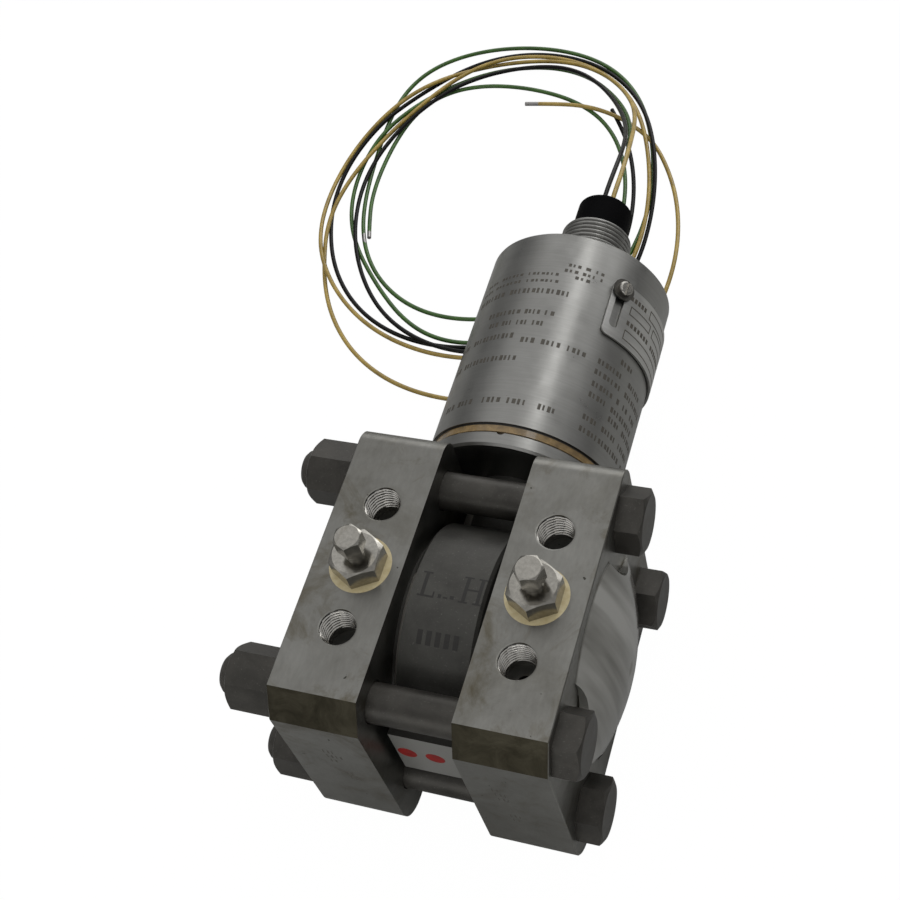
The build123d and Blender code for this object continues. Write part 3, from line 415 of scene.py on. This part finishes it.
# Leads
def lead(name, points, material):
    """Round lead along its route, in place of its CAD tube."""
    curve = bpy.data.curves.new(name + "_wire", "CURVE")
    curve.dimensions = "3D"
    curve.bevel_depth = WIRE_R * MM
    curve.bevel_resolution = 4
    curve.use_fill_caps = True
    spline = curve.splines.new("NURBS")
    spline.points.add(len(points) - 1)
    for p, q in zip(spline.points, points):
        p.co = (q[0] * MM, q[1] * MM, q[2] * MM, 1.0)
    spline.order_u = 3
    spline.use_endpoint_u = True
    spline.resolution_u = 6
    obj = bpy.data.objects.new(name + "_wire", curve)
    link(obj, material, ROOT)
    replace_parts(obj, name)
    return obj


black_skin = lead_skin("lead_black", (0.00370, 0.00370, 0.00333), (0.00185, 0.00185, 0.00148), None, 0, 0.2)
white_skin = lead_skin("lead_white", (0.444, 0.311, 0.0651), (0.266, 0.178, 0.0296),
                       [c * MM for c in white_route[-1]], 6.5 * MM, 0.6)
green_skin = lead_skin("lead_green", (0.0518, 0.141, 0.0163), (0.0222, 0.074, 0.00592),
                       [c * MM for c in green_route[-1]], 3.5 * MM, 0.5)
lead("lead_black", black_route, black_skin)
lead("lead_white", white_route, white_skin)
lead("lead_green", green_route, green_skin)


# Mesh helpers
def object_from(name, bm, smooth=False):
    """Object from a finished bmesh, which this frees."""
    bmesh.ops.recalc_face_normals(bm, faces=bm.faces)
    mesh = bpy.data.meshes.new(name)
    bm.to_mesh(mesh)
    bm.free()
    for f in mesh.polygons:
        f.use_smooth = smooth
    return bpy.data.objects.new(name, mesh)


def skin(bm, rings):
    """Faces between rings of vertices, each ring closed on itself."""
    for a, b in zip(rings, rings[1:]):
        for i in range(len(a)):
            j = (i + 1) % len(a)
            bm.faces.new((a[i], a[j], b[j], b[i]))


def strip(bm, rings):
    """Closed strip: a skin over rings of four vertices with a face on each end."""
    skin(bm, rings)
    bm.faces.new(rings[0])
    bm.faces.new(list(reversed(rings[-1])))


def tube(name, rows):
    """Smooth open tube through rows of points."""
    bm = bmesh.new()
    skin(bm, [[bm.verts.new(p) for p in row] for row in rows])
    return object_from(name, bm, smooth=True)


def tooth(phase):
    """Thread profile from 0 in the root to 1 on the crest."""
    phase %= 1.0
    t = 1.0 - abs(2.0 * phase - 1.0)
    return min(1.0, max(0.0, (t - 0.12) / 0.72))


def shade_roots(obj, material, is_root):
    """Give the faces in the thread's roots a darker material, as painted shade in the grooves."""
    obj.data.materials.append(material)
    for f in obj.data.polygons:
        if is_root(f.center):
            f.material_index = 1
    return obj


def port_thread(name, x, y):
    """Pipe thread inside a process port, whose first crest narrows the mouth."""
    pitch, turns, steps, around = 1.411, 7.6, 12, 56
    mouth_r, root_rise, tooth_height, taper = 6.0, 0.45, 0.8, 0.03
    start_z = FRONT_Z - 0.1
    spin = [2 * math.pi * i / around for i in range(around)]
    lip = []
    for r, z in ((6.75, FRONT_Z - 0.02), (6.05, FRONT_Z - 0.01), (5.95, start_z)):
        lip.append([at(x + r * math.cos(a), y + r * math.sin(a), z) for a in spin])
    link(tube(name + "_lip", lip), flange_steel, ROOT)
    rows = []
    for k in range(int(turns * steps) + 1):
        down = k * pitch / steps
        fade = min(1.0, k / 6.0)
        ring = []
        for i, a in enumerate(spin):
            height = tooth_height * fade * tooth(down / pitch - i / around)
            r = mouth_r + root_rise * fade - taper * down - height
            ring.append(at(x + r * math.cos(a), y + r * math.sin(a), start_z - down))
        rows.append(ring)
    obj = link(tube(name, rows), thread_steel_painted_highlight, ROOT)
    middle = at(x, y, 0)

    def is_root(c):
        """Whether a face's centre lies outside the tapered line between roots and crests."""
        return math.hypot(c.x - middle.x, c.y - middle.y) / MM > 6.03 + 0.02 * (c.z / MM - FRONT_Z)

    return shade_roots(obj, thread_root_painted_shade, is_root)


for side, side_name in ((-1, "low"), (1, "high")):
    for k, y in enumerate(PORT_ROWS):
        port_thread("port_thread_%s_%d" % (side_name, k + 1), side * PORT_X, y)


def around_axis(r, a, y):
    """Point at radius r and angle a from +Z towards +X round the housing axis, at y."""
    return at(r * math.sin(a), y, AXIS_Z + r * math.cos(a))


def nipple():
    """Conduit nipple with its tapered pipe thread, end face and bore."""
    pitch, length, steps, around = 1.814, 25.0, 9, 96
    foot_y, end_y, bore_y = 196.1, 221.6, 208.0
    root_r, crest_r, tooth_height, plain_rise = 12.55, 13.33, 0.76, 0.3
    spin = [2 * math.pi * i / around for i in range(around)]
    rows = [[around_axis(12.4, a, foot_y) for a in spin]]
    count = int(length / pitch * steps)
    for k in range(count + 1):
        up_y = k * pitch / steps
        fade = min(1.0, k / 7.0, (count - k) / 5.0)
        row = []
        for i, a in enumerate(spin):
            r = root_r + plain_rise * (1 - fade) + tooth_height * fade * tooth(up_y / pitch - i / around)
            row.append(around_axis(min(r, crest_r), a, foot_y + 0.1 + up_y))
        rows.append(row)
    for r, y in ((12.2, end_y), (10.5, end_y), (10.46, bore_y)):
        rows.append([around_axis(r, a, y) for a in spin])
    obj = link(tube("nipple_thread", rows), housing_steel, ROOT)
    last_y = at(0, 221.0, 0).y

    def is_root(c):
        """Whether a face's centre lies low in the thread and short of the end face."""
        r = math.hypot(c.x - X0 * MM, c.z - AXIS_Z * MM) / MM
        return c.y < last_y and 12.2 < r < 12.85

    shade_roots(obj, nipple_root_painted_shade, is_root)
    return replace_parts(obj, "conduit_nipple")


nipple()


def shell_strip(bm, a0, a1, y0, y1, r0, r1):
    """Thin closed strip that follows the round housing, angles in degrees from +Z towards +X."""
    n = max(2, int(abs(a1 - a0) / 2.0) + 1)
    corners = ((r0, y0), (r1, y0), (r1, y1), (r0, y1))
    rings = []
    for k in range(n + 1):
        a = math.radians(a0 + (a1 - a0) * k / n)
        rings.append([bm.verts.new(around_axis(r, a, y)) for r, y in corners])
    strip(bm, rings)


def strips(name, items, material, body=ROOT):
    """One mesh of shell strips."""
    bm = bmesh.new()
    for item in items:
        shell_strip(bm, *item)
    return link(object_from(name, bm), material, body)


def words(a0, a1, y, height, pattern):
    """Groups of short plain bars between two angles; pattern gives group and gap lengths in turn."""
    total = sum(pattern)
    out, a = [], a0
    for k, length in enumerate(pattern):
        step = (a1 - a0) * length / total
        if k % 2 == 0:
            count = max(1, round(math.radians(step) * SHELL_R / 1.75))
            for i in range(count):
                b = a + step * i / count
                wide = (0.62, 0.42, 0.7, 0.5, 0.34)[(i + k) % 5]
                rise = (1.0, 0.82, 1.0, 0.9)[(i * 3 + k) % 4] * height / 2
                out.append((b, b + wide * step / count, y - rise, y + rise,
                            SHELL_R - MARK_SUNK, SHELL_R + MARK_PROUD))
        a += step
    return out


# First angle, last angle, place along the housing, bar height, and lengths of groups and gaps
etched_rows = (
    (-52.4, 3.3, 177.3, 1.2, (4, 1, 6, 1, 7)), (-55, 4.5, 174.2, 1.2, (4, 1, 8, 1, 8)),
    (-55.6, 13.5, 169.7, 2.2, (7, 1, 11)), (-38, 8.4, 160.5, 2.0, (7, 0.6, 3, 0.6, 2)),
    (-34.6, 3.4, 155.8, 2.0, (2, 0.6, 2, 0.6, 2, 0.6, 2)), (-61, -12.8, 150.2, 2.2, (3, 1, 8)),
    (-8, 32.9, 148.4, 2.2, (3, 1, 4, 1, 4)), (-59.2, -6.1, 140.6, 2.2, (2, 1, 10)),
    (-51.6, 8.5, 123.2, 2.3, (3, 1, 4, 2, 4, 1, 4)), (14.3, 25.5, 123.1, 2.3, (3,)),
    (6.4, 29.8, 182.1, 1.3, (4, 1, 2, 1, 3)), (4.9, 30.9, 179.6, 1.3, (5, 1, 5, 1, 2)),
    (12.4, 22.5, 177.3, 1.3, (5,)), (55.6, 68.2, 154.3, 2.1, (4,)), (40.2, 84, 149.0, 2.1, (6, 2, 5)),
    (39.9, 92, 144.6, 2.1, (6, 1, 7)), (40.5, 88, 139.8, 2.1, (5, 1, 1, 1, 2, 1, 3)),
    (40.6, 86, 135.4, 2.1, (4, 1, 8)), (58.3, 97, 131.6, 2.1, (3, 1, 6)),
    (41, 92, 126.4, 2.1, (3, 1, 4, 1, 5)), (40.8, 92, 121.6, 2.1, (9, 1, 2)),
)
marks = [bar for row in etched_rows for bar in words(*row)]
strips("etched_bars", marks, etch)


# Frames and bars on the tag plate
def field(a0, a1, y0, y1):
    """Outline of an empty field on the tag plate."""
    line = 0.4
    line_angle = math.degrees(line / TAG_R)
    sides = ((a0, a1, y0, y0 + line), (a0, a1, y1 - line, y1),
             (a0, a0 + line_angle, y0, y1), (a1 - line_angle, a1, y0, y1))
    return [(*side, TAG_R - MARK_SUNK, TAG_R + MARK_PROUD) for side in sides]


def tag_bars(a0, a1, y):
    """Row of even bars on the tag plate."""
    pitch, wide, tall = 3.2, 2.0, 1.8
    n = round((a1 - a0) / pitch)
    starts = [a0 + (a1 - a0) * i / n for i in range(n)]
    return [(b, b + wide, y - tall / 2, y + tall / 2, TAG_R - MARK_SUNK, TAG_R + MARK_PROUD) for b in starts]


tag_marks = []
for box in ((50, 70, 172.0, 175.6), (66, 112, 176.8, 180.6),
            (73, 130, 171.9, 175.6), (50, 130, 161.6, 165.6)):
    tag_marks += field(*box)
for row in ((48.5, 63, 178.6), (50, 72, 168.6), (75, 96, 168.6)):
    tag_marks += tag_bars(*row)
strips("tag_fields", tag_marks, etch, "tag")


# Plain L and H side marks and a row of bars on the measuring cell
def drum_strip(bm, x0, x1, y0, y1, proud=0.04):
    """Thin closed strip on the round top of the cell drum."""
    n = max(1, int(abs(y1 - y0) / 1.5))
    low_r, high_r = CELL_R - 0.1, CELL_R + proud
    rings = []
    for k in range(n + 1):
        lean = math.asin((y0 + (y1 - y0) * k / n - CELL_Y) / CELL_R)
        ring = []
        for x, r in ((x0, low_r), (x1, low_r), (x1, high_r), (x0, high_r)):
            ring.append(bm.verts.new(at(x, CELL_Y + r * math.sin(lean), CELL_Z + r * math.cos(lean))))
        rings.append(ring)
    strip(bm, rings)


stroke = 1.15
letter_l = ((-8.3, -8.3 + stroke, 46.6, 54.8), (-9.3, -6.2, 54.4, 54.9), (-9.3, -3.9, 46.4, 46.95),
            (-4.4, -3.9, 46.9, 48.4))
letter_h = ((5.0, 5.0 + stroke, 46.6, 55.2), (9.6, 9.6 + stroke, 46.6, 55.2), (6.1, 9.7, 50.7, 51.25),
            (4.1, 7.1, 46.4, 46.9), (4.1, 7.1, 54.9, 55.4), (8.7, 11.7, 46.4, 46.9), (8.7, 11.7, 54.9, 55.4))
dots = ((-2.6, -1.5, 46.7, 47.9), (-0.9, 0.6, 46.8, 47.3), (1.3, 2.6, 46.9, 48.0))
bar_x, bar_pitch, bar_wide = -6.3, 2.95, 1.7
bars = [(bar_x + bar_pitch * k, bar_x + bar_pitch * k + bar_wide, 32.6, 36.6) for k in range(5)]
drum_marks = bmesh.new()
for box in (*letter_l, *letter_h, *dots, *bars):
    drum_strip(drum_marks, *box)
link(object_from("cell_marks", drum_marks), mark_dark)


# Faint stamped bars on the lower ends of the flanges
def stamp_bars(bm, x0, z0, counts):
    """Rows of upright bars on the flanges' end face, each row with its count of bars."""
    bar_step, row_shift, row_drop, tall = 1.5, 0.5, 3.4, 2.2
    for row, count in enumerate(counts):
        for i in range(count):
            x, z = x0 + bar_step * i + row_shift * row, z0 - row_drop * row
            wide = 0.45 + 0.25 * (i % 2)
            corners = ((x, z), (x + wide, z), (x + wide, z + tall), (x, z + tall))
            depths = (MARK_SUNK, -MARK_PROUD)
            strip(bm, [[bm.verts.new(at(px, y, pz)) for px, pz in corners] for y in depths])


stamps = bmesh.new()
for group in ((-31.5, 56.0, (3, 4, 2)), (-27.5, 40.0, (2, 3)),
              (23.5, 54.0, (2, 3, 3)), (26.0, 34.0, (3, 2))):
    stamp_bars(stamps, *group)
link(object_from("flange_stamps", stamps), stamp)


# Finishes of the CAD nodes
finishes = {
    "flange_low": flange_steel, "flange_high": dome_steel, "cell_body": cell_dark,
    "housing_base": housing_steel, "housing_shell": housing_steel, "seal_ring": amber,
    "cable_plug": plug_black, "tag_plate": tag_steel, "header_board": board_green,
    "main_board": board_green, "adjuster_block": inner_plastic, "terminal_block": inner_plastic,
    "sensor_capsule": housing_steel, "feedthrough": brass, "zero_adjuster": brass, "span_adjuster": brass,
}
starts = (("bolt_", bolt_dark), ("nut_", bolt_dark), ("vent_body_", valve_steel),
          ("bleed_screw_", valve_steel), ("vent_seal_", sealant), ("fill_plug_", plug_red),
          ("tag_screw_", screw_steel), ("tag_washer_", washer_painted_shade), ("board_post_", brass),
          ("o_ring_", rubber), ("diaphragm_", foil))
for name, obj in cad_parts.items():
    chosen = finishes.get(name)
    for start, material in starts:
        if name.startswith(start):
            chosen = material
    if chosen is not None:
        obj.data.materials.clear()
        obj.data.materials.append(chosen)

# Edges that are broken on the real pieces, with the width of each break
breaks = {"bolt_": 0.35, "nut_": 0.4, "vent_body_": 0.3, "bleed_screw_": 0.25, "flange_": 0.35}
for name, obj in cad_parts.items():
    for start, width in breaks.items():
        if name.startswith(start):
            edge = obj.modifiers.new("broken_edges", "BEVEL")
            edge.width = width * MM
            edge.segments = 2
            edge.limit_method = "ANGLE"
            edge.angle_limit = math.radians(38)
            edge.use_clamp_overlap = True
            edge.harden_normals = False


# Floor, world and lamps
floor_mesh = bpy.data.meshes.new("floor")
half = 6.0
corners = [(-half, -half, 0), (half, -half, 0), (half, half, 0), (-half, half, 0)]
floor_mesh.from_pydata(corners, [], [(0, 1, 2, 3)])
floor = bpy.data.objects.new("floor", floor_mesh)
floor.location = (0, 0, -0.0002)
scene.collection.objects.link(floor)
fm = bpy.data.materials.new("floor")
fm.use_nodes = True
ft = fm.node_tree
diffuse = ft.nodes["Principled BSDF"]
diffuse.inputs["Base Color"].default_value = (0.5, 0.5, 0.49, 1)
diffuse.inputs["Roughness"].default_value = 0.9
diffuse.inputs["Specular IOR Level"].default_value = 0.0
glow = ft.nodes.new("ShaderNodeEmission")
glow.inputs["Strength"].default_value = 1.03
path = ft.nodes.new("ShaderNodeLightPath")
share = ft.nodes.new("ShaderNodeMath")
share.operation = "MULTIPLY"
share.inputs[1].default_value = 0.96
ft.links.new(path.outputs["Is Camera Ray"], share.inputs[0])
blend = ft.nodes.new("ShaderNodeMixShader")
ft.links.new(share.outputs[0], blend.inputs["Fac"])
ft.links.new(diffuse.outputs["BSDF"], blend.inputs[1])
ft.links.new(glow.outputs["Emission"], blend.inputs[2])
ft.links.new(blend.outputs["Shader"], ft.nodes["Material Output"].inputs["Surface"])
floor_mesh.materials.append(fm)

world = bpy.data.worlds.new("studio")
scene.world = world
world.use_nodes = True
wt = world.node_tree
ground = wt.nodes["Background"]
ground.inputs["Strength"].default_value = 0.675
way = wt.nodes.new("ShaderNodeTexCoord")
height = wt.nodes.new("ShaderNodeSeparateXYZ")
wt.links.new(way.outputs["Generated"], height.inputs["Vector"])
wt.links.new(ramp(wt, height.outputs["Z"], [(0.0, 0.28), (0.35, 0.46), (0.8, 0.6)]), ground.inputs["Color"])
plain = wt.nodes.new("ShaderNodeBackground")
plain.inputs["Color"].default_value = (1, 1, 1, 1)
ray = wt.nodes.new("ShaderNodeLightPath")
choose = wt.nodes.new("ShaderNodeMixShader")
wt.links.new(ray.outputs["Is Camera Ray"], choose.inputs["Fac"])
wt.links.new(ground.outputs["Background"], choose.inputs[1])
wt.links.new(plain.outputs["Background"], choose.inputs[2])
wt.links.new(choose.outputs["Shader"], wt.nodes["World Output"].inputs["Surface"])


def lamp(name, place, target, size_x, size_y, power, upright="Z"):
    """Area lamp that looks at a target, in mm as for at(); its second side runs along the upright axis."""
    data = bpy.data.lights.new(name, "AREA")
    data.shape = "RECTANGLE"
    data.size, data.size_y = size_x, size_y
    data.energy = power
    obj = bpy.data.objects.new(name, data)
    obj.location = at(*place)
    obj.rotation_mode = "QUATERNION"
    back = (at(*place) - at(*target)).normalized()
    rise = Vector((0, 0, 1)) if upright == "Z" else Vector((0, 1, 0))
    right = rise.cross(back).normalized()
    obj.rotation_quaternion = Matrix((right, back.cross(right), back)).transposed().to_quaternion()
    scene.collection.objects.link(obj)
    return obj


lamp("key_strip", (146, 498, 675), (10, 160, 70), 0.13, 1.1, 1.0, "Y")
lamp("top_soft", (-350, 150, 900), (0, 80, 40), 1.3, 1.3, 2.1)
lamp("low_fill", (50, -600, 200), (0, 40, 40), 0.7, 0.4, 1.45)
lamp("back_soft", (60, 800, 330), (0, 100, 60), 1.0, 0.5, 2.2)
